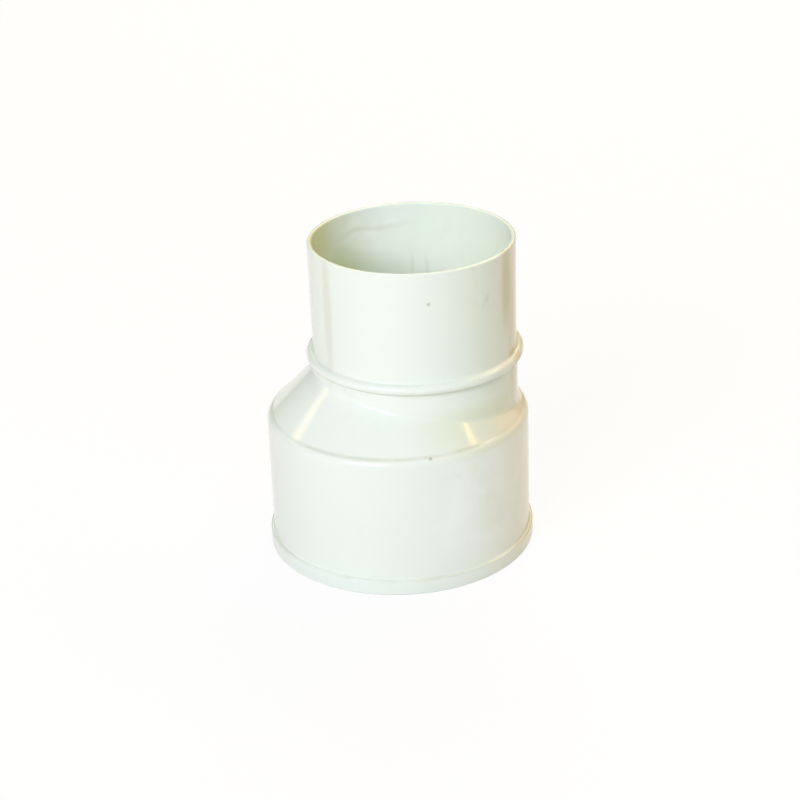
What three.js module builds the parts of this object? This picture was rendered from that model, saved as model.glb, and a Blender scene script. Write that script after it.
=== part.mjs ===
// Eccentric pipe reducer in rigid plastic. A socket for a 110 mm pipe narrows to a plain 90 mm pipe end, which is
// set off to one side, so that the bores of the two pipes run level along the side where the walls come closest.
// Millimetres, +Z up. The origin is the centre of the socket's mouth, and the neck is offset along +X.

import * as THREE from 'three';
import { LoftGeometry } from 'three/addons/geometries/LoftGeometry.js';

// The two pipes that the fitting joins
const largePipeDiameter = 110;
const largePipeWall = 3.2;
const smallPipeDiameter = 90;
const smallPipeWall = 2.2;

// Socket barrel: its bore narrows a little inwards, so that the pipe wedges in the cement
const socketDepth = 50;
const socketWall = 3.1;
const socketMouthPlay = 0.3;
const socketRootPlay = 0.05;
const leadInWidth = 0.8;
const leadInDepth = 1.2;

// Hoop round the socket's mouth, pushed up a step turned in the barrel
const bandHeight = 7;
const bandProud = 1.5;
const bandSeatDepth = 1;
const bandRounding = 0.8;

// Cone, with the brim that sits on the barrel and the skirt that goes inside it
const coneAngle = THREE.MathUtils.degToRad(45.6);
const coneWall = 3;
const brimHeight = 1.7;
const brimRounding = 4;
const brimTurn = THREE.MathUtils.degToRad(65);
const skirtLength = 10;
const skirtChamfer = 0.6;
const invertStep = 0.4;

// Offset collar on the cone, and the counterbore that takes the neck's tongue
const collarStep = 0.4;
const collarFillet = 3;
const shortCollarHeight = 3.6;
const lapDepth = 2.5;
const lapWall = 1;

// Stop bead, half round on a narrow land
const beadRadius = 2.2;
const beadLand = 0.9;

// Neck above the bead: it opens by a hair towards its end, which has rounded edges
const spigotLength = 50;
const neckOpening = 0.3;
const rimRounding = 0.6;

// Clearance between pieces that slide into each other
const fitGap = 0.3;

// Facets round each piece, and along its curves
const aroundSteps = 72;
const arcSteps = 4;
const beadSteps = 10;
const coneRows = 4;

// Radii of the barrel and of what fits in and on it
const socketMouthRadius = largePipeDiameter / 2 + socketMouthPlay;
const barrelRadius = socketMouthRadius + socketWall;
const socketRootRadius = largePipeDiameter / 2 + socketRootPlay;
const bandSeatRadius = barrelRadius - bandSeatDepth;
const largeBoreRadius = largePipeDiameter / 2 - largePipeWall;
const creaseRadius = barrelRadius - brimRounding * (1 - Math.cos(brimTurn));
const skirtBoreRadius = largeBoreRadius + invertStep;
const skirtRadius = socketRootRadius - fitGap;

// Radii of the neck and of what fits round it
const neckRadius = smallPipeDiameter / 2;
const neckBoreRadius = neckRadius - smallPipeWall;
const neckMouthRadius = neckRadius + neckOpening;
const tongueRadius = neckBoreRadius + lapWall;
const lapRadius = tongueRadius + fitGap;
const collarRadius = neckRadius + collarStep;
const beadCentreRadius = neckRadius + beadLand;

// The neck's bore and the large pipe's bore touch on the level side, which sets how far the neck is off centre
const neckOffset = largeBoreRadius - neckBoreRadius;

// Heights, from the socket's mouth up
const barrelHeight = socketDepth + skirtLength;
const shoulderHeight = barrelHeight + brimHeight;
const coneSlope = Math.tan(coneAngle);
const coneSlant = 1 / Math.cos(coneAngle);
const collarFarRadius = collarRadius - neckOffset;
const ringBottom = coneHeight(collarFarRadius) + shortCollarHeight;
const ringMiddle = ringBottom + beadRadius;
const ringTop = ringMiddle + beadRadius;
const lapFloor = ringBottom - lapDepth;
const overallHeight = ringTop + spigotLength;

// Height of the cone's outer face at a distance from the barrel's axis
function coneHeight(radius) {
  return shoulderHeight + coneSlope * (barrelRadius - radius);
}

// Height of the cone's inner face, one wall below the outer one
function innerConeHeight(radius) {
  return coneHeight(radius) - coneWall * coneSlant;
}

// A piece's own plastic, pale with a faint green cast
function makePlastic() {
  return new THREE.MeshStandardMaterial({ color: 0xe6efe4, roughness: 0.28, metalness: 0 });
}

function makeMesh(name, geometry) {
  const mesh = new THREE.Mesh(geometry, makePlastic());
  mesh.name = name;
  return mesh;
}

// A ring turned about +Z from a closed outline of radius and height
function turnOutline(outline, curveSteps) {
  outline.closePath();
  const geometry = new THREE.LatheGeometry(outline.getPoints(curveSteps / 2), aroundSteps);
  geometry.rotateX(Math.PI / 2);
  return geometry;
}

// Plain pipe end that stands in the stop bead's counterbore, with a thin tongue below that reaches into the collar
function makeSpigotNeck() {
  const mouthBoreRadius = neckMouthRadius - smallPipeWall;
  const roundingHeight = overallHeight - rimRounding;
  const outline = new THREE.Path();
  outline.moveTo(neckBoreRadius, lapFloor);
  outline.lineTo(tongueRadius, lapFloor);
  outline.lineTo(tongueRadius, ringMiddle);
  outline.lineTo(neckRadius, ringMiddle);
  outline.lineTo(neckMouthRadius, roundingHeight);
  outline.absarc(neckMouthRadius - rimRounding, roundingHeight, rimRounding, 0, Math.PI / 2);
  outline.absarc(mouthBoreRadius + rimRounding, roundingHeight, rimRounding, Math.PI / 2, Math.PI);
  return makeMesh('spigot_neck', turnOutline(outline, arcSteps));
}

// Half-round bead on the collar's top, counterbored for the neck, with a narrow flat land round the neck
function makeStopRing() {
  const outline = new THREE.Path();
  outline.moveTo(lapRadius, ringBottom);
  outline.absarc(beadCentreRadius, ringMiddle, beadRadius, -Math.PI / 2, Math.PI / 2);
  outline.lineTo(neckRadius + fitGap, ringTop);
  outline.lineTo(neckRadius + fitGap, ringMiddle);
  outline.lineTo(lapRadius, ringMiddle);
  return makeMesh('stop_ring', turnOutline(outline, beadSteps));
}

// Plain tube with a tapered bore, a lead-in at its mouth and a step outside for the band
function makeSocketBarrel() {
  const outline = new THREE.Path();
  outline.moveTo(socketMouthRadius + leadInWidth, 0);
  outline.lineTo(bandSeatRadius, 0);
  outline.lineTo(bandSeatRadius, bandHeight);
  outline.lineTo(barrelRadius, bandHeight);
  outline.lineTo(barrelRadius, barrelHeight);
  outline.lineTo(socketRootRadius, barrelHeight);
  outline.lineTo(socketRootRadius, socketDepth);
  outline.lineTo(socketMouthRadius, leadInDepth);
  return makeMesh('socket_barrel', turnOutline(outline, arcSteps));
}

// Hoop with rounded outer edges
function makeMouthBand() {
  const boreRadius = bandSeatRadius + fitGap;
  const roundingRadius = barrelRadius + bandProud - bandRounding;
  const outline = new THREE.Path();
  outline.moveTo(boreRadius, 0);
  outline.absarc(roundingRadius, bandRounding, bandRounding, -Math.PI / 2, 0);
  outline.absarc(roundingRadius, bandHeight - bandRounding, bandRounding, 0, Math.PI / 2);
  outline.lineTo(boreRadius, bandHeight);
  return makeMesh('mouth_band', turnOutline(outline, arcSteps));
}

// Points in plan at a distance from the barrel's axis, or from the neck's
function barrelPoint(radius, angle) {
  return new THREE.Vector2(radius * Math.cos(angle), radius * Math.sin(angle));
}

function neckPoint(radius, angle) {
  return barrelPoint(radius, angle).add(new THREE.Vector2(neckOffset, 0));
}

// One ring of points for the loft, from a function that gives plan point and height at each angle
function ringOf(placeAt) {
  return Array.from({ length: aroundSteps }, (_, step) => {
    const { plan, height } = placeAt(step / aroundSteps * 2 * Math.PI);
    return new THREE.Vector3(plan.x, plan.y, height);
  });
}

function barrelRing(radius, height) {
  return ringOf((angle) => ({ plan: barrelPoint(radius, angle), height }));
}

function neckRing(radius, height) {
  return ringOf((angle) => ({ plan: neckPoint(radius, angle), height }));
}

// Rings from one end of a stretch of the loft to the other, both ends included
function ringsAlong(steps, ringAt) {
  return Array.from({ length: steps + 1 }, (_, step) => ringAt(step / steps));
}

// Convex rounding of the brim, up to the crease that the cone rises from. share runs from 0 on the brim's wall to 1
// at the crease.
function brimRoundingRing(share) {
  const turn = share * brimTurn;
  const centreHeight = coneHeight(creaseRadius) - brimRounding * Math.sin(brimTurn);
  const radius = barrelRadius - brimRounding * (1 - Math.cos(turn));
  return barrelRing(radius, centreHeight + brimRounding * Math.sin(turn));
}

// How fast the cone falls away from the collar's foot, square to the collar: most on the far side
function fallAtCollar(angle) {
  const foot = neckPoint(collarRadius, angle);
  return coneSlope * foot.dot(barrelPoint(1, angle)) / foot.length();
}

// How far the fillet runs out from the collar before it touches the cone
function filletReach(angle) {
  return collarFillet * (1 - Math.sin(Math.atan(fallAtCollar(angle))));
}

// Concave fillet in the corner of cone and collar. share runs from 0 on the cone to 1 on the collar.
function filletRing(share) {
  return ringOf((angle) => {
    const footHeight = coneHeight(neckPoint(collarRadius, angle).length());
    const fallAngle = Math.atan(fallAtCollar(angle));
    const centreHeight = footHeight + collarFillet * (1 / Math.cos(fallAngle) - Math.tan(fallAngle));
    const turn = (1 - share) * (Math.PI / 2 - fallAngle);
    const plan = neckPoint(collarRadius + collarFillet * (1 - Math.cos(turn)), angle);
    return { plan, height: centreHeight - collarFillet * Math.sin(turn) };
  });
}

// The outer cone between crease and fillet: rings that drift from the barrel's axis to the neck's
function outerConeRing(share) {
  return ringOf((angle) => {
    const low = barrelPoint(creaseRadius, angle);
    const high = neckPoint(collarRadius + filletReach(angle), angle);
    const plan = low.lerp(high, share);
    return { plan, height: coneHeight(plan.length()) };
  });
}

// The inner cone, from the neck's bore down to the skirt's
function innerConeRing(share) {
  return ringOf((angle) => {
    const plan = neckPoint(neckBoreRadius, angle).lerp(barrelPoint(skirtBoreRadius, angle), share);
    return { plan, height: innerConeHeight(plan.length()) };
  });
}

// Cone shell, lofted up the outside, over the collar's counterbored top and down the inside. The cone stands square
// on the barrel and the offset collar cuts into it, so their corner climbs from the level side to the far side.
function makeEccentricCone() {
  const rings = [
    barrelRing(barrelRadius, barrelHeight),
    ...ringsAlong(arcSteps, brimRoundingRing).slice(0, -1),
    ...ringsAlong(coneRows, outerConeRing),
    ...ringsAlong(arcSteps, filletRing).slice(1),
    neckRing(collarRadius, ringBottom),
    neckRing(lapRadius, ringBottom),
    neckRing(lapRadius, lapFloor),
    neckRing(neckBoreRadius, lapFloor),
    ...ringsAlong(coneRows, innerConeRing),
    barrelRing(skirtBoreRadius, socketDepth),
    barrelRing(skirtRadius - skirtChamfer, socketDepth),
    barrelRing(skirtRadius, socketDepth + skirtChamfer),
    barrelRing(skirtRadius, barrelHeight),
    barrelRing(barrelRadius, barrelHeight),
  ];
  return makeMesh('eccentric_cone', new LoftGeometry(rings));
}

const neckGroup = new THREE.Group();
neckGroup.position.x = neckOffset;
neckGroup.add(makeSpigotNeck(), makeStopRing());

const reducer = new THREE.Group();
reducer.add(makeSocketBarrel(), makeMouthBand(), makeEccentricCone(), neckGroup);

export default reducer;
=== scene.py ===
# Eccentric pipe reducer in rigid plastic, made as smooth pieces in the places of the frame's faceted ones.
# Metres, +Z up. The socket's mouth stands on the floor round the origin, and the neck is offset along +X.

import math

import bmesh
import bpy
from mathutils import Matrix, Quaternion, Vector


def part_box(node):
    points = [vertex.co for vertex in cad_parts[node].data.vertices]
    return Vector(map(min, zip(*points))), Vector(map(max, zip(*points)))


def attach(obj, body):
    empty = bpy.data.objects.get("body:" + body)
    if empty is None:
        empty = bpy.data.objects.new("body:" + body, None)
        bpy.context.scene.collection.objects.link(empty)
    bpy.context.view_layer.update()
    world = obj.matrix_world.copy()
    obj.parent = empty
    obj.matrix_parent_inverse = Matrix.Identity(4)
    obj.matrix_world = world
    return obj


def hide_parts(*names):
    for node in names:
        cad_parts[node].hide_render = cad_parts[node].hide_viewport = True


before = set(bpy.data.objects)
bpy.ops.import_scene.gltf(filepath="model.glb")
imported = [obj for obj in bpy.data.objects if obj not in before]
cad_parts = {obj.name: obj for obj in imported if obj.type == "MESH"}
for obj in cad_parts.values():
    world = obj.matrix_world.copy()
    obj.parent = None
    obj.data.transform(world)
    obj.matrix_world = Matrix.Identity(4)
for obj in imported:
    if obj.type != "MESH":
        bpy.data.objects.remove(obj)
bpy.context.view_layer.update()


# Socket barrel: the wide end of the fitting, a moulded tube that a pipe is cemented into. Its bore narrows a
# little inwards so that the pipe wedges, its mouth has a lead-in, and the step outside it takes the band.
barrel_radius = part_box("socket_barrel")[1].x
barrel_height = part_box("socket_barrel")[1].z
socket_wall = 0.0031
socket_taper = 0.00025
socket_depth = 0.050
lead_in_width = 0.0008
lead_in_depth = 0.0012
band_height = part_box("mouth_band")[1].z
band_seat_depth = 0.001
band_seat_radius = barrel_radius - band_seat_depth
socket_mouth_radius = barrel_radius - socket_wall
socket_root_radius = socket_mouth_radius - socket_taper
mould_rounding = 0.0003

around_steps = 256
rounding_steps = 6
wall_spacing = 0.002
weld_distance = 0.000002
sharp_angle = math.radians(35)


def finish_piece(name, mesh):
    """Turns a bmesh into a smooth piece that rides on the body."""
    bmesh.ops.remove_doubles(mesh, verts=mesh.verts[:], dist=weld_distance)
    bmesh.ops.recalc_face_normals(mesh, faces=mesh.faces[:])
    data = bpy.data.meshes.new(name)
    mesh.to_mesh(data)
    mesh.free()
    data.shade_smooth()
    data.set_sharp_from_angle(angle=sharp_angle)
    piece = bpy.data.objects.new(name, data)
    bpy.context.scene.collection.objects.link(piece)
    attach(piece, "root")
    return piece


def turn_piece(name, corners, axis_x=0.0):
    """A piece turned about an upright axis, from corners given as radius, height and rounding."""
    mesh = bmesh.new()
    points = [mesh.verts.new((axis_x + radius, 0, height)) for radius, height, _ in corners]
    mesh.faces.new(points)
    for point, (_, _, rounding) in zip(points, corners):
        if rounding:
            bmesh.ops.bevel(mesh, geom=[point], offset=rounding, segments=rounding_steps, profile=0.5,
                            affect="VERTICES", material=-1)
    bmesh.ops.delete(mesh, geom=mesh.faces[:], context="FACES_ONLY")
    for edge in mesh.edges[:]:
        cuts = int(edge.calc_length() / wall_spacing)
        if cuts:
            bmesh.ops.subdivide_edges(mesh, edges=[edge], cuts=cuts)
    bmesh.ops.spin(mesh, geom=mesh.verts[:] + mesh.edges[:], cent=(axis_x, 0, 0), axis=(0, 0, 1),
                   angle=math.tau, steps=around_steps, use_merge=True)
    return finish_piece(name, mesh)


socket_barrel = turn_piece("barrel_shell", [
    (socket_mouth_radius + lead_in_width, 0, mould_rounding),
    (band_seat_radius, 0, 0),
    (band_seat_radius, band_height, 0),
    (barrel_radius, band_height, 0),
    (barrel_radius, barrel_height, 0),
    (socket_root_radius, barrel_height, 0),
    (socket_root_radius, socket_depth, 0),
    (socket_mouth_radius, lead_in_depth, mould_rounding),
])
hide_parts("socket_barrel")


# Rigid plastic of the whole fitting, coloured right through: white with a faint mint cast, glossy off the
# mould, with slight clouding, an orange peel and hairlines. It shows its use in a rubbed haze, a wavering
# dark line and streaks inside the neck, smudges outside it, and a few specks. Its colour also holds painted
# light
# and shade: bounced light and the rim's shadow in the bore, the haze's light on the barrel and the bore,
# warm reflections and shade on the cone and the neck, a cream reflection on the neck, and shade in the
# creases.
neck_low, neck_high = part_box("spigot_neck")
neck_offset = (neck_low.x + neck_high.x) / 2
neck_mouth_radius = neck_high.x - neck_offset
neck_wall = 0.0022


def barrel_place(side, height, radius=barrel_radius):
    """Place round the barrel's axis: side is the angle from the front, in degrees, positive to the right."""
    side = math.radians(side)
    return Vector((radius * math.sin(side), -radius * math.cos(side), height))


def neck_place(side, height):
    """The same round the neck's axis, on the neck's outside."""
    return barrel_place(side, height, neck_mouth_radius) + Vector((neck_offset, 0, 0))


def add_node(tree, kind, **settings):
    node = tree.nodes.new("ShaderNode" + kind)
    for name, value in settings.items():
        setattr(node, name, value)
    return node


def add_noise(tree, place, scale, detail, distortion=0.0, stretch=(1, 1, 1)):
    """Noise over the Object coordinates, long in the directions where stretch is small."""
    mapping = add_node(tree, "Mapping")
    mapping.inputs["Scale"].default_value = stretch
    tree.links.new(place, mapping.inputs["Vector"])
    noise = add_node(tree, "TexNoise")
    noise.inputs["Scale"].default_value = scale
    noise.inputs["Detail"].default_value = detail
    noise.inputs["Distortion"].default_value = distortion
    tree.links.new(mapping.outputs["Vector"], noise.inputs["Vector"])
    return noise.outputs["Fac"]


def add_ramp(tree, value, start, end, low=0.0, high=1.0):
    """Goes softly from low to high while the value goes from start to end."""
    ramp = add_node(tree, "MapRange", interpolation_type="SMOOTHSTEP")
    ramp.inputs["From Min"].default_value = start
    ramp.inputs["From Max"].default_value = end
    ramp.inputs["To Min"].default_value = low
    ramp.inputs["To Max"].default_value = high
    tree.links.new(value, ramp.inputs["Value"])
    return ramp.outputs["Result"]


def add_math(tree, operation, *values):
    node = add_node(tree, "Math", operation=operation)
    for socket, value in zip(node.inputs, values):
        if isinstance(value, float):
            socket.default_value = value
        else:
            tree.links.new(value, socket)
    return node.outputs["Value"]


def add_scaled(tree, place, scales):
    scaled = add_node(tree, "VectorMath", operation="MULTIPLY")
    scaled.inputs[1].default_value = scales
    tree.links.new(place, scaled.inputs[0])
    return scaled.outputs["Vector"]


def add_distance(tree, place, centre):
    distance = add_node(tree, "VectorMath", operation="DISTANCE")
    distance.inputs[1].default_value = centre
    tree.links.new(place, distance.inputs[0])
    return distance.outputs["Value"]


# Share of a mark's reach, from its middle out, that is at full strength.
core_share = 0.25


def add_spot(tree, place, centre, reach, high=1.0):
    """A soft round patch about a place."""
    return add_ramp(tree, add_distance(tree, place, centre), start=reach, end=reach * core_share, high=high)


def add_ring(tree, level, height, width, high=1.0):
    """A soft ring at a height; level carries the Object height, straight or wavering."""
    gap = add_math(tree, "ABSOLUTE", add_math(tree, "SUBTRACT", level, height))
    return add_ramp(tree, gap, start=width, end=width * core_share, high=high)


def add_tint(tree, colour, amount, tint):
    """Lays a tint over the colour, wholly where the amount is one."""
    mix = add_node(tree, "Mix", data_type="RGBA")
    tree.links.new(amount, mix.inputs["Factor"])
    tree.links.new(colour, mix.inputs["A"])
    mix.inputs["B"].default_value = tint
    return mix.outputs["Result"]


mint_tint = (0.86, 0.915, 0.855, 1)
cream_tint = (0.875, 0.90, 0.82, 1)


def clouded_colour(tree, place):
    """The plastic's own colour, between mint and cream in soft clouds."""
    clouding = add_noise(tree, place, scale=26.0, detail=3.0)
    tint = add_node(tree, "Mix", data_type="RGBA")
    tint.inputs["A"].default_value = mint_tint
    tint.inputs["B"].default_value = cream_tint
    tree.links.new(clouding, tint.inputs["Factor"])
    return tint.outputs["Result"]


# Painted bounced light: a greener tint laid over the whole wall of the neck's bore.
bore_bounce_tint = (0.84, 0.935, 0.85, 1)
bore_bounce_share = 0.6


def inside_neck(tree, place):
    """One on the wall of the neck's bore and nought on the neck's outside."""
    radius = add_distance(tree, add_scaled(tree, place, (1, 1, 0)), (neck_offset, 0, 0))
    middle_of_wall = neck_mouth_radius - neck_wall / 2
    return add_ramp(tree, radius, start=middle_of_wall, end=middle_of_wall - neck_wall * core_share)


# The rubbed haze is partly painted light: its pale wisps lighten the barrel's shaded right side and the far
# wall of the bore.
haze_and_sheen_tint = (0.96, 0.985, 0.965, 1)
haze_and_sheen_place = barrel_place(side=27, height=0.040)
haze_and_sheen_reach = 0.050
bore_line_place = neck_place(side=-172, height=0.134)
bore_line_reach = 0.026


def rubbed_haze_and_sheen(tree, place):
    """Pale wisps and curls of rubbed haze, which also paint light on the barrel's right and the bore's far
    wall.
    """
    curls = add_noise(tree, place, scale=44.0, detail=3.0, distortion=0.9)
    wisps = add_ramp(tree, curls, start=0.32, end=0.62, low=0.45)
    haze_and_sheen_area = add_math(tree, "MAXIMUM", add_spot(tree, place, haze_and_sheen_place, haze_and_sheen_reach),
                      add_spot(tree, place, bore_line_place, bore_line_reach))
    return add_math(tree, "MULTIPLY", wisps, haze_and_sheen_area)


# Painted shadow: the rim's shadow on the bore's wall, yellow-green like light bounced inside the neck.
bore_shadow_tint = (0.68, 0.72, 0.36, 1)
low_shadow_place = neck_place(side=-140, height=0.107)
low_shadow_reach = 0.030
rim_shadow_place = neck_place(side=-118, height=0.133)
rim_shadow_reach = 0.026


def bore_painted_shadow(tree, place, inside):
    """Painted shadow of the rim in the neck's bore, yellow-green like bounced light: low down, and up to the
    rim on one side.
    """
    low_shadow = add_spot(tree, place, low_shadow_place, low_shadow_reach, high=0.65)
    rim_shadow = add_spot(tree, place, rim_shadow_place, rim_shadow_reach, high=0.80)
    return add_math(tree, "MULTIPLY", inside, add_math(tree, "MAXIMUM", low_shadow, rim_shadow))


shoulder_rise = 0.0017
# Painted warm reflection: a darker, yellower patch on the cone's right.
warm_reflection_tint = (0.83, 0.865, 0.72, 1)
warm_reflection_place = barrel_place(side=30, height=0.066, radius=0.045)
warm_reflection_reach = 0.038
warm_reflection_top = 0.080
warm_reflection_fade = 0.005


def cone_warm_reflection(tree, place, level):
    """Painted warm reflection on the cone where it is lowest, darker and yellower."""
    above_brim = add_ramp(tree, level, start=barrel_height, end=barrel_height + shoulder_rise)
    below_collar = add_ramp(tree, level, start=warm_reflection_top, end=warm_reflection_top - warm_reflection_fade)
    patch = add_spot(tree, place, warm_reflection_place, warm_reflection_reach, high=0.90)
    return add_math(tree, "MULTIPLY", patch, add_math(tree, "MULTIPLY", above_brim, below_collar))


# Painted shade and warm reflection: dark yellow bands down the right edge of the neck.
warm_shade_tint = (0.60, 0.54, 0.27, 1)
right_reflection_place = neck_place(side=44, height=0.127)
right_reflection_reach = 0.006
low_right_reflection_place = neck_place(side=52, height=0.104)
low_right_reflection_reach = 0.007
# Painted reflection: a cream band down the left side of the neck.
cream_reflection_tint = (0.79, 0.79, 0.70, 1)
cream_reflection_place = neck_place(side=-72, height=0.118)
cream_reflection_reach = 0.0045


def upright_painted_band(tree, place, centre, reach, flatness, high):
    """A soft upright band of painted reflection down a wall: round once its height is multiplied by
    flatness.
    """
    flattening = Vector((1, 1, flatness))
    return add_spot(tree, add_scaled(tree, place, flattening), centre * flattening, reach, high)


# Painted shade: broken dark lines in the crease under the cone and along the mouth band. The same tint also
# serves the real marks inside the neck and on it.
grime_and_shade_tint = (0.56, 0.58, 0.44, 1)
crease_shade_width = 0.0008
crease_shade_rise = 0.0041
band_shade_drop = 0.0003


def crease_painted_shade(tree, place, level):
    """Broken dark lines of painted shade in the crease under the cone and along the mouth band."""
    patchy = add_ramp(tree, add_noise(tree, place, scale=55.0, detail=3.0), start=0.35, end=0.65, low=0.25)
    crease = add_ring(tree, level, barrel_height + crease_shade_rise, crease_shade_width, high=0.40)
    band = add_ring(tree, level, band_height - band_shade_drop, crease_shade_width, high=0.35)
    return add_math(tree, "MULTIPLY", patchy, add_math(tree, "MAXIMUM", crease, band))


bore_line_height = 0.1344
bore_line_width = 0.0020
bore_line_waver = 0.003
streak_place = neck_place(side=158, height=0.111)
streak_reach = 0.011


def inside_marks(tree, place, level, inside):
    """A wavering dark line round the far wall inside the neck, and short upright streaks below it."""
    waves = add_noise(tree, place, scale=34.0, detail=1.0)
    waver = add_ramp(tree, waves, start=0.3, end=0.7, low=-bore_line_waver, high=bore_line_waver)
    line = add_ring(tree, add_math(tree, "ADD", level, waver), bore_line_height, bore_line_width, high=0.20)
    wavy_line = add_math(tree, "MULTIPLY", line, add_spot(tree, place, bore_line_place, bore_line_reach))
    runs = add_noise(tree, place, scale=290.0, detail=2.0, stretch=(1, 1, 0.05))
    drips = add_ramp(tree, runs, start=0.55, end=0.70)
    streaks = add_math(tree, "MULTIPLY", drips, add_spot(tree, place, streak_place, streak_reach, high=0.22))
    return add_math(tree, "MULTIPLY", inside, add_math(tree, "MAXIMUM", wavy_line, streaks))


smudge_place = neck_place(side=26, height=0.128)
smudge_reach = 0.010


def smudge_marks(tree, place):
    """Faint finger marks on the neck, and fainter ones here and there."""
    ridges = add_noise(tree, place, scale=150.0, detail=3.0, stretch=(1, 1, 0.5))
    prints = add_ramp(tree, ridges, start=0.48, end=0.62)
    on_neck = add_spot(tree, place, smudge_place, smudge_reach, high=0.22)
    patches = add_noise(tree, place, scale=24.0, detail=1.0)
    anywhere = add_ramp(tree, patches, start=0.58, end=0.72, high=0.06)
    return add_math(tree, "MULTIPLY", prints, add_math(tree, "ADD", on_neck, anywhere))


speck_tint = (0.30, 0.20, 0.08, 1)
speck_size = 0.0012
neck_speck_place = neck_place(side=-9.8, height=0.1286)
crease_speck_depth = 0.0013
crease_speck_place = barrel_place(side=-3.9, height=0.0638, radius=barrel_radius - crease_speck_depth)


def dirt_specks(tree, place):
    """The two specks that stand out, and tiny scattered ones in a few cells of a pattern."""
    cells = add_node(tree, "TexVoronoi")
    cells.inputs["Scale"].default_value = 85.0
    tree.links.new(place, cells.inputs["Vector"])
    chosen = add_ramp(tree, cells.outputs["Color"], start=0.72, end=0.74, high=0.45)
    dots = add_ramp(tree, cells.outputs["Distance"], start=0.034, end=0.018)
    large = add_math(tree, "MAXIMUM", add_spot(tree, place, neck_speck_place, speck_size, high=0.40),
                     add_spot(tree, place, crease_speck_place, speck_size, high=0.50))
    return add_math(tree, "MAXIMUM", add_math(tree, "MULTIPLY", chosen, dots), large)


plastic_ior = 1.45
plastic_specular = 0.35
peel_strength = 0.12
peel_depth = 0.00008


def moulded_plastic(name):
    material = bpy.data.materials.new(name)
    material.use_nodes = True
    tree = material.node_tree
    shader = tree.nodes["Principled BSDF"]
    shader.inputs["IOR"].default_value = plastic_ior
    shader.inputs["Specular IOR Level"].default_value = plastic_specular
    place = add_node(tree, "TexCoord").outputs["Object"]
    split = add_node(tree, "SeparateXYZ")
    tree.links.new(place, split.inputs["Vector"])
    level = split.outputs["Z"]
    inside = inside_neck(tree, place)
    haze_and_sheen = rubbed_haze_and_sheen(tree, place)

    # Each mark lies over the ones before it, the real marks and the painted light and shade alike.
    marks = [
        (add_math(tree, "MULTIPLY", inside, bore_bounce_share), bore_bounce_tint),
        (haze_and_sheen, haze_and_sheen_tint),
        (bore_painted_shadow(tree, place, inside), bore_shadow_tint),
        (cone_warm_reflection(tree, place, level), warm_reflection_tint),
        (upright_painted_band(tree, place, right_reflection_place, right_reflection_reach, flatness=0.2, high=0.55), warm_shade_tint),
        (upright_painted_band(tree, place, low_right_reflection_place, low_right_reflection_reach, flatness=0.12, high=0.36), warm_shade_tint),
        (upright_painted_band(tree, place, cream_reflection_place, cream_reflection_reach, flatness=0.1, high=0.85),
         cream_reflection_tint),
        (crease_painted_shade(tree, place, level), grime_and_shade_tint),
        (inside_marks(tree, place, level, inside), grime_and_shade_tint),
        (smudge_marks(tree, place), grime_and_shade_tint),
        (dirt_specks(tree, place), speck_tint),
    ]
    colour = clouded_colour(tree, place)
    for amount, tint in marks:
        colour = add_tint(tree, colour, amount, tint)
    tree.links.new(colour, shader.inputs["Base Color"])

    smears = add_noise(tree, place, scale=45.0, detail=4.0, distortion=0.8)
    gloss = add_ramp(tree, smears, start=0.35, end=0.7, low=0.11, high=0.19)
    dull = add_ramp(tree, haze_and_sheen, start=0.0, end=1.0, high=0.07)
    tree.links.new(add_math(tree, "ADD", gloss, dull), shader.inputs["Roughness"])

    peel = add_noise(tree, place, scale=420.0, detail=2.0)
    scratches = add_noise(tree, place, scale=900.0, detail=2.0, stretch=(0.03, 0.03, 1))
    hairlines = add_ramp(tree, scratches, start=0.62, end=0.70)
    bump = add_node(tree, "Bump")
    bump.inputs["Strength"].default_value = peel_strength
    bump.inputs["Distance"].default_value = peel_depth
    tree.links.new(add_math(tree, "SUBTRACT", peel, hairlines), bump.inputs["Height"])
    tree.links.new(bump.outputs["Normal"], shader.inputs["Normal"])
    return material


plastic = moulded_plastic("mint_plastic")
socket_barrel.data.materials.append(plastic)


# Mouth band: the low plastic hoop that stiffens the socket's mouth, moulded with it. Its outer edges are
# rounded, and a small fillet runs up from its top onto the barrel.
band_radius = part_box("mouth_band")[1].x
band_rounding = 0.0008
band_fillet = 0.0005
feather = 0.00002

mouth_band = turn_piece("mouth_hoop", [
    (band_seat_radius, 0, 0),
    (band_radius, 0, band_rounding),
    (band_radius, band_height, band_rounding),
    (barrel_radius + feather, band_height, band_fillet),
    (barrel_radius + feather, band_height + 2 * band_fillet, 0),
    (barrel_radius, band_height + 2 * band_fillet, 0),
    (barrel_radius, band_height, 0),
    (band_seat_radius, band_height, 0),
])
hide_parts("mouth_band")
mouth_band.data.materials.append(plastic)


# Eccentric cone: the shell of moulded plastic that joins barrel and neck. It stands square on the barrel,
# and the offset collar cuts into it with a fillet in their corner. The rounded brim at its foot stands a
# little proud, which leaves a crease. Inside, a skirt stops the larger pipe.
collar_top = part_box("eccentric_cone")[1].z
skirt_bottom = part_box("eccentric_cone")[0].z
cone_angle = math.radians(45.6)
cone_slope = math.tan(cone_angle)
cone_wall = 0.003
shoulder_height = barrel_height + shoulder_rise
brim_rounding = 0.004
brim_turn = math.radians(65)
crease_radius = barrel_radius - brim_rounding * (1 - math.cos(brim_turn))
crease_fillet = 0.0025
neck_radius = 0.045
neck_bore_radius = neck_radius - neck_wall
tongue_wall = 0.001
tongue_radius = neck_bore_radius + tongue_wall
tongue_bottom = neck_low.z
collar_step = 0.0004
collar_radius = neck_radius + collar_step
collar_fillet = 0.003
skirt_bore_radius = 0.0522
skirt_gap = 0.0003
skirt_radius = socket_root_radius - skirt_gap
skirt_chamfer = 0.0006
brim_steps = 10
crease_steps = 6
cone_steps = 24
fillet_steps = 12
wall_steps = 12
lip_steps = 4


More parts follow.
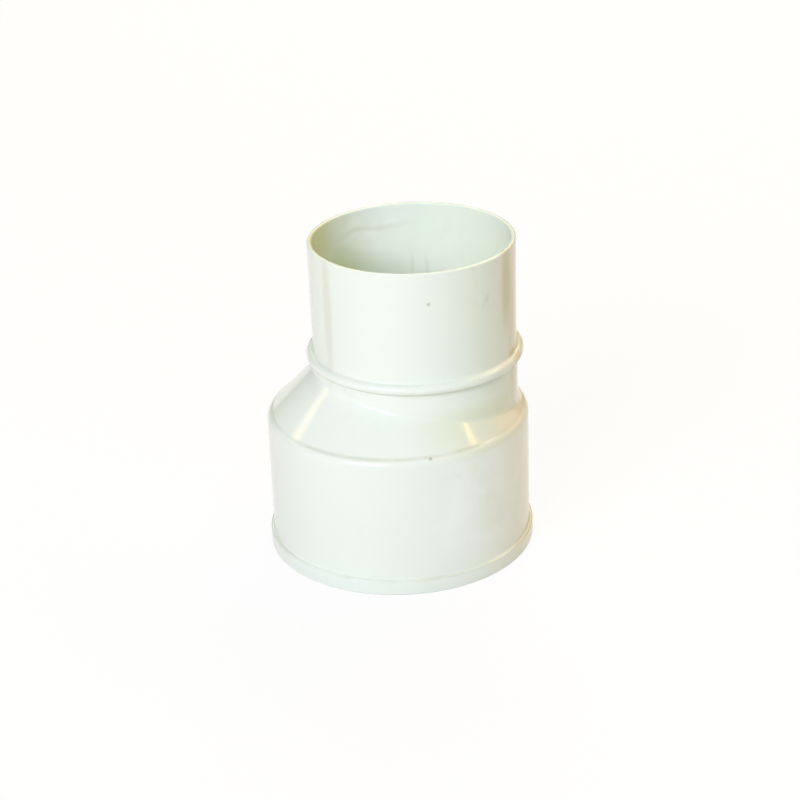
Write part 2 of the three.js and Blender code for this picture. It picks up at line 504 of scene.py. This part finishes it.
def cone_height(radius):
    """Height of the cone's outer face at a distance from the barrel's axis."""
    return shoulder_height + cone_slope * (barrel_radius - radius)


def barrel_point(radius, angle):
    return Vector((radius * math.cos(angle), radius * math.sin(angle), 0))


def neck_point(radius, angle):
    return barrel_point(radius, angle) + Vector((neck_offset, 0, 0))


def lifted(point, height):
    return Vector((point.x, point.y, height))


# The brim's rounding and the crease's fillet are two circles in the cone's outline, as radius and height.
cone_tilt = math.pi / 2 - cone_angle
cone_normal = Vector((math.cos(cone_tilt), math.sin(cone_tilt)))
down_cone = Vector((cone_normal.y, -cone_normal.x))
crease_corner = Vector((crease_radius, cone_height(crease_radius)))
brim_centre = crease_corner - brim_rounding * Vector((math.cos(brim_turn), math.sin(brim_turn)))
brim_to_fillet = crease_corner + crease_fillet * cone_normal - brim_centre
along_cone = brim_to_fillet.dot(down_cone)
touching = (brim_rounding + crease_fillet) ** 2
run_up = along_cone + math.sqrt(along_cone ** 2 - brim_to_fillet.length_squared + touching)
crease_centre = brim_centre + brim_to_fillet - run_up * down_cone
brim_end = math.atan2(crease_centre.y - brim_centre.y, crease_centre.x - brim_centre.x)


def brim_place(share, angle):
    """Convex rounding of the brim, from its wall at share 0 to the crease's fillet at 1."""
    turn = share * brim_end
    point = brim_centre + brim_rounding * Vector((math.cos(turn), math.sin(turn)))
    return lifted(barrel_point(point.x, angle), point.y)


def crease_place(share, angle):
    """Concave fillet of the crease, from the brim at share 0 to the cone at 1."""
    turn = brim_end + share * (cone_tilt - brim_end)
    point = crease_centre - crease_fillet * Vector((math.cos(turn), math.sin(turn)))
    return lifted(barrel_point(point.x, angle), point.y)


def collar_fall(angle):
    """How steeply the cone falls away from the collar's foot, square to the collar."""
    foot = neck_point(collar_radius, angle)
    return cone_slope * foot.dot(barrel_point(1, angle)) / foot.length


def cone_place(share, angle):
    """Outer face of the cone, from the crease's fillet at share 0 to the collar's at 1."""
    reach = collar_fillet * (1 - math.sin(math.atan(collar_fall(angle))))
    point = crease_place(1, angle).lerp(neck_point(collar_radius + reach, angle), share)
    point.z = 0
    return lifted(point, cone_height(point.length))


def fillet_place(share, angle):
    """Concave fillet in the corner of cone and collar, from the cone at share 0 to the collar at 1."""
    fall_angle = math.atan(collar_fall(angle))
    foot_height = cone_height(neck_point(collar_radius, angle).length)
    centre_height = foot_height + collar_fillet * (1 / math.cos(fall_angle) - math.tan(fall_angle))
    turn = (1 - share) * (math.pi / 2 - fall_angle)
    radius = collar_radius + collar_fillet * (1 - math.cos(turn))
    return lifted(neck_point(radius, angle), centre_height - collar_fillet * math.sin(turn))


def collar_place(share, angle):
    """Upright outside of the collar, from its fillet at share 0 to its top at 1."""
    start = fillet_place(1, angle)
    return start.lerp(lifted(start, collar_top), share)


def inner_cone_place(share, angle):
    """Inner face of the cone, from the neck's bore at share 0 to the skirt's at 1."""
    point = neck_point(neck_bore_radius, angle).lerp(barrel_point(skirt_bore_radius, angle), share)
    return lifted(point, cone_height(point.length) - cone_wall / math.cos(cone_angle))


def neck_circle(radius, height):
    return lambda share, angle: lifted(neck_point(radius, angle), height)


def barrel_circle(radius, height):
    return lambda share, angle: lifted(barrel_point(radius, angle), height)


def wall_between(lower, upper):
    """Straight wall from the end of one stretch to the start of the next."""
    return lambda share, angle: lower(1, angle).lerp(upper(0, angle), share)


cone_stretches = [
    (brim_place, brim_steps),
    (crease_place, crease_steps),
    (cone_place, cone_steps),
    (fillet_place, fillet_steps),
    (collar_place, lip_steps),
    (neck_circle(tongue_radius, collar_top), 0),
    (neck_circle(tongue_radius, tongue_bottom), 0),
    (neck_circle(neck_bore_radius, tongue_bottom), 0),
    (wall_between(neck_circle(neck_bore_radius, tongue_bottom), inner_cone_place), wall_steps),
    (inner_cone_place, cone_steps),
    (wall_between(inner_cone_place, barrel_circle(skirt_bore_radius, skirt_bottom)), lip_steps),
    (barrel_circle(skirt_radius - skirt_chamfer, skirt_bottom), 0),
    (barrel_circle(skirt_radius, skirt_bottom + skirt_chamfer), 0),
    (barrel_circle(skirt_radius, barrel_height), 0),
    (barrel_circle(barrel_radius, barrel_height), 0),
]


def loft_piece(name, stretches):
    """A closed shell: a circle is extruded from ring to ring, up the outside and down the inside."""
    mesh = bmesh.new()
    bmesh.ops.create_circle(mesh, segments=around_steps, radius=barrel_radius)
    angle_of = mesh.verts.layers.float.new("angle")
    for vertex in mesh.verts:
        vertex[angle_of] = math.atan2(vertex.co.y, vertex.co.x)
        vertex.co.z = barrel_height
    edges = mesh.edges[:]
    for place, steps in stretches:
        for step in range(steps + 1):
            grown = bmesh.ops.extrude_edge_only(mesh, edges=edges)["geom"]
            edges = [item for item in grown if isinstance(item, bmesh.types.BMEdge)]
            for vertex in {vertex for edge in edges for vertex in edge.verts}:
                vertex.co = place(step / steps if steps else 0, vertex[angle_of])
    return finish_piece(name, mesh)


eccentric_cone = loft_piece("cone_shell", cone_stretches)
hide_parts("eccentric_cone")
eccentric_cone.data.materials.append(plastic)


# Stop bead: the half-round plastic ring that the smaller pipe's socket comes down on. It sits on the
# collar's top, and its upper side runs into the neck in a small fillet.
ring_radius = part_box("stop_ring")[1].x - neck_offset
ring_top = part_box("stop_ring")[1].z
ring_middle = (collar_top + ring_top) / 2
bead_radius = (ring_top - collar_top) / 2
ring_fillet = 0.00085

stop_ring = turn_piece("stop_bead", [
    (tongue_radius, collar_top, 0),
    (ring_radius, collar_top, bead_radius),
    (ring_radius, ring_top, bead_radius),
    (neck_radius + feather, ring_top, ring_fillet),
    (neck_radius + feather, ring_top + 2 * ring_fillet, 0),
    (neck_radius, ring_top + 2 * ring_fillet, 0),
    (neck_radius, ring_middle, 0),
    (tongue_radius, ring_middle, 0),
], neck_offset)
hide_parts("stop_ring")
stop_ring.data.materials.append(plastic)


# Neck: the plain plastic pipe end that is cemented into a smaller socket. It opens by a hair towards its
# rim, whose edges are rounded, and a thin tongue below stands in the collar.
neck_mouth_bore = neck_mouth_radius - neck_wall
rim_height = neck_high.z
rim_rounding = 0.0008

spigot_neck = turn_piece("neck_tube", [
    (neck_bore_radius, tongue_bottom, 0),
    (tongue_radius, tongue_bottom, 0),
    (tongue_radius, ring_middle, 0),
    (neck_radius, ring_middle, 0),
    (neck_mouth_radius, rim_height, rim_rounding),
    (neck_mouth_bore, rim_height, rim_rounding),
], neck_offset)
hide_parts("spigot_neck")
spigot_neck.data.materials.append(plastic)


# Floor: a plain pale sheet of paper that the fitting stands on. Seen straight, in a reflection or through
# something clear it is close to white, and it keeps the fitting's shadow.
floor_reach = 4.0
floor_drop = 0.00005
floor_white = (0.70, 0.70, 0.69, 1)
floor_roughness = 0.9
floor_glow_share = 0.85
floor_glow_strength = 1.05

mesh = bmesh.new()
bmesh.ops.create_grid(mesh, x_segments=1, y_segments=1, size=floor_reach)
bmesh.ops.translate(mesh, verts=mesh.verts[:], vec=(0, 0, -floor_drop))
floor_data = bpy.data.meshes.new("floor_sheet")
mesh.to_mesh(floor_data)
mesh.free()
floor = bpy.data.objects.new("floor_sheet", floor_data)
bpy.context.scene.collection.objects.link(floor)

floor_paper = bpy.data.materials.new("floor_paper")
floor_paper.use_nodes = True
tree = floor_paper.node_tree
paper = tree.nodes["Principled BSDF"]
paper.inputs["Base Color"].default_value = floor_white
paper.inputs["Roughness"].default_value = floor_roughness
paper.inputs["Specular IOR Level"].default_value = 0.0
glow = add_node(tree, "Emission")
glow.inputs["Strength"].default_value = floor_glow_strength
rays = add_node(tree, "LightPath").outputs
seen = add_math(tree, "MAXIMUM", rays["Is Camera Ray"], rays["Is Glossy Ray"])
seen_or_through = add_math(tree, "MAXIMUM", seen, rays["Is Transmission Ray"])
blend = add_node(tree, "MixShader")
tree.links.new(add_math(tree, "MULTIPLY", seen_or_through, floor_glow_share), blend.inputs["Fac"])
tree.links.new(paper.outputs["BSDF"], blend.inputs[1])
tree.links.new(glow.outputs["Emission"], blend.inputs[2])
tree.links.new(blend.outputs["Shader"], tree.nodes["Material Output"].inputs["Surface"])
floor_data.materials.append(floor_paper)


# Studio light: a window left of the camera, a broad soft lamp in front of the fitting, one behind it and a
# warm one on its right, in a dim room. Thin strips and small gaps of light on both sides draw the narrow
# highlights. Every lamp hangs at the same distance and faces the fitting.
room_colour = (0.085, 0.08, 0.06, 1)
lamp_distance = 3.0
lamp_target = Vector((0, 0, 0.07))

world = bpy.data.worlds.new("dim_room")
bpy.context.scene.world = world
world.use_nodes = True
world.node_tree.nodes["Background"].inputs["Color"].default_value = room_colour


def towards(side, height):
    """Direction at an angle round from the front, positive to the right, and an angle above the floor."""
    side, height = math.radians(side), math.radians(height)
    return Vector((math.sin(side) * math.cos(height), -math.cos(side) * math.cos(height), math.sin(height)))


def soft_lamp(name, side, height, wide, tall, strength, colour):
    """Rectangular lamp. Place and size are angles seen from the fitting, strength the light that arrives."""
    data = bpy.data.lights.new(name, "AREA")
    data.shape = "RECTANGLE"
    data.size = 2 * lamp_distance * math.tan(math.radians(wide) / 2)
    data.size_y = 2 * lamp_distance * math.tan(math.radians(tall) / 2)
    data.energy = strength * math.pi * lamp_distance ** 2
    data.color = colour
    lamp = bpy.data.objects.new(name, data)
    bpy.context.scene.collection.objects.link(lamp)
    lamp.location = lamp_target + lamp_distance * towards(side, height)
    lamp.rotation_mode = "QUATERNION"
    lamp.rotation_quaternion = towards(side, height).to_track_quat("Z", "Y")


soft_lamp("front_window", side=-48, height=31, wide=24, tall=22, strength=1.82, colour=(0.88, 0.845, 0.97))
soft_lamp("broad_front", side=-17, height=38, wide=90, tall=50, strength=1.9, colour=(0.76, 0.985, 0.97))
soft_lamp("back_lamp", side=158, height=40, wide=30, tall=30, strength=1.3, colour=(0.93, 1.0, 0.76))
soft_lamp("warm_wall", side=113, height=30, wide=36, tall=36, strength=0.65, colour=(1.0, 0.32, 0.05))
soft_lamp("shoulder_strip", side=108, height=48, wide=36, tall=6, strength=0.60, colour=(1.0, 0.75, 0.40))
soft_lamp("foot_strip", side=73, height=44, wide=12, tall=3, strength=0.15, colour=(1.0, 0.50, 0.10))
soft_lamp("left_strip", side=-89, height=34, wide=54, tall=4, strength=0.22, colour=(1.0, 0.93, 0.78))
soft_lamp("left_gap", side=-130, height=29.5, wide=4, tall=5, strength=0.10, colour=(1.0, 0.65, 0.25))
soft_lamp("right_gap", side=67, height=45.5, wide=4, tall=5, strength=0.03, colour=(1.0, 0.95, 0.30))


# Camera: it looks down on the fitting from the side where the neck's offset turns a little away, and is held
# a little crooked.
camera_side = -17.2
camera_height = 25.1
camera_roll = math.radians(-2.18)
camera_distance = 0.9005
camera_lens = 90.65
look_at = Vector((0.0011, -0.0003, 0.0656))
backward = towards(camera_side, camera_height)
camera_data = bpy.data.cameras.new("photo_camera")
camera_data.lens = camera_lens
camera = bpy.data.objects.new("photo_camera", camera_data)
bpy.context.scene.collection.objects.link(camera)
camera.location = look_at + camera_distance * backward
camera.rotation_mode = "QUATERNION"
camera.rotation_quaternion = (-backward).to_track_quat("-Z", "Y") @ Quaternion((0, 0, 1), camera_roll)
bpy.context.scene.camera = camera
bpy.context.scene.view_settings.view_transform = "Standard"
